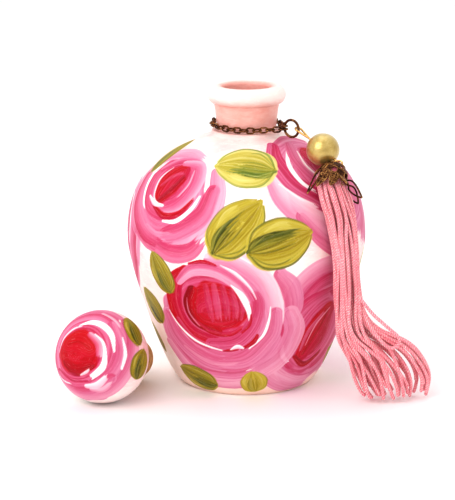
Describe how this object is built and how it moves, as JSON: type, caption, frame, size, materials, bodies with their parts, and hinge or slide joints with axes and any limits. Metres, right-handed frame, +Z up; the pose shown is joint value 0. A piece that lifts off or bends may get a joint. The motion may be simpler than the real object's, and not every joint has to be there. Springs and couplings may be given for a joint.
{
  "type": "stoppered bottle",
  "caption": "Round-bodied painted bottle with a loose ball-and-cork stopper and a neck chain that carries a pearl and a floss tassel.",
  "frame": {"origin": "middle of the bottle's flat foot, on the surface it stands on", "axes": "+Z up through the mouth, -Y towards the front, +X towards the side that the pendant hangs on"},
  "size_m": [0.1537, 0.104, 0.125],
  "materials": {
    "painted_bottle": "satin",
    "painted_ball": "gloss",
    "cork": "matte",
    "aged_brass": "satin",
    "gold_wire": "polished",
    "pearl": "gloss",
    "floss": "satin"
  },
  "bodies": {
    "bottle": {"bottle": "painted_bottle"},
    "stopper": {"stopper_ball": "painted_ball", "stopper_cork": "cork"},
    "neck_chain": {"chain_link_01": "aged_brass", "chain_link_02": "aged_brass", "chain_link_03": "aged_brass", "chain_link_04": "aged_brass", "chain_link_05": "aged_brass", "chain_link_06": "aged_brass", "chain_link_07": "aged_brass", "chain_link_08": "aged_brass", "chain_link_09": "aged_brass", "chain_link_10": "aged_brass", "chain_link_11": "aged_brass", "chain_link_12": "aged_brass", "chain_link_13": "aged_brass", "chain_link_14": "aged_brass", "chain_link_15": "aged_brass", "chain_link_16": "aged_brass", "chain_link_17": "aged_brass", "chain_link_18": "aged_brass", "chain_link_19": "aged_brass", "chain_link_20": "aged_brass", "chain_link_21": "aged_brass", "chain_link_22": "aged_brass", "chain_link_23": "aged_brass", "chain_link_24": "aged_brass", "chain_link_25": "aged_brass", "chain_link_26": "aged_brass", "chain_link_27": "aged_brass", "chain_link_28": "aged_brass", "chain_link_29": "aged_brass", "chain_link_30": "aged_brass", "chain_link_31": "aged_brass", "chain_link_32": "aged_brass", "chain_link_33": "aged_brass", "chain_link_34": "aged_brass", "chain_link_35": "aged_brass"},
    "ring": {"jump_ring": "aged_brass"},
    "pearl_link": {"eye_pin": "gold_wire"},
    "pearl": {"pearl_bead": "pearl"},
    "tassel": {"bead_cap": "aged_brass", "tassel_knot": "floss", "tassel_strand_01": "floss", "tassel_strand_02": "floss", "tassel_strand_03": "floss", "tassel_strand_04": "floss", "tassel_strand_05": "floss", "tassel_strand_06": "floss", "tassel_strand_07": "floss", "tassel_strand_08": "floss", "tassel_strand_09": "floss", "tassel_strand_10": "floss", "tassel_strand_11": "floss", "tassel_strand_12": "floss", "tassel_strand_13": "floss", "tassel_strand_14": "floss", "tassel_strand_15": "floss", "tassel_strand_16": "floss", "tassel_strand_17": "floss"}
  },
  "joints": [
    {"name": "stopper_lift", "type": "slide", "parent": "bottle", "child": "stopper", "axis": [-0.6, -0.3, 0.7416], "range_m": [0, 0.18]},
    {"name": "chain_turn", "type": "hinge", "parent": "bottle", "child": "neck_chain", "pos_m": [0, 0, 0.109], "axis": [0, 0, 1], "range_deg": [-70, 180]},
    {"name": "ring_swing", "type": "hinge", "parent": "neck_chain", "child": "ring", "pos_m": [0.01539, -0.01181, 0.1094], "axis": [-0.6088, -0.7934, 0], "range_deg": [0, 15]},
    {"name": "pin_swing", "type": "hinge", "parent": "ring", "child": "pearl_link", "pos_m": [0.02094, -0.01607, 0.1094], "axis": [-0.6088, -0.7934, 0], "range_deg": [0, 60]},
    {"name": "pearl_spin", "type": "hinge", "parent": "pearl_link", "child": "pearl", "pos_m": [0.0305, -0.0242, 0.1026], "axis": [-0.6696, 0.5696, 0.4765], "continuous": true},
    {"name": "tassel_swing", "type": "hinge", "parent": "pearl_link", "child": "tassel", "pos_m": [0.03686, -0.02961, 0.09807], "axis": [-0.6088, -0.7934, 0], "range_deg": [0, 45]}
  ]
}
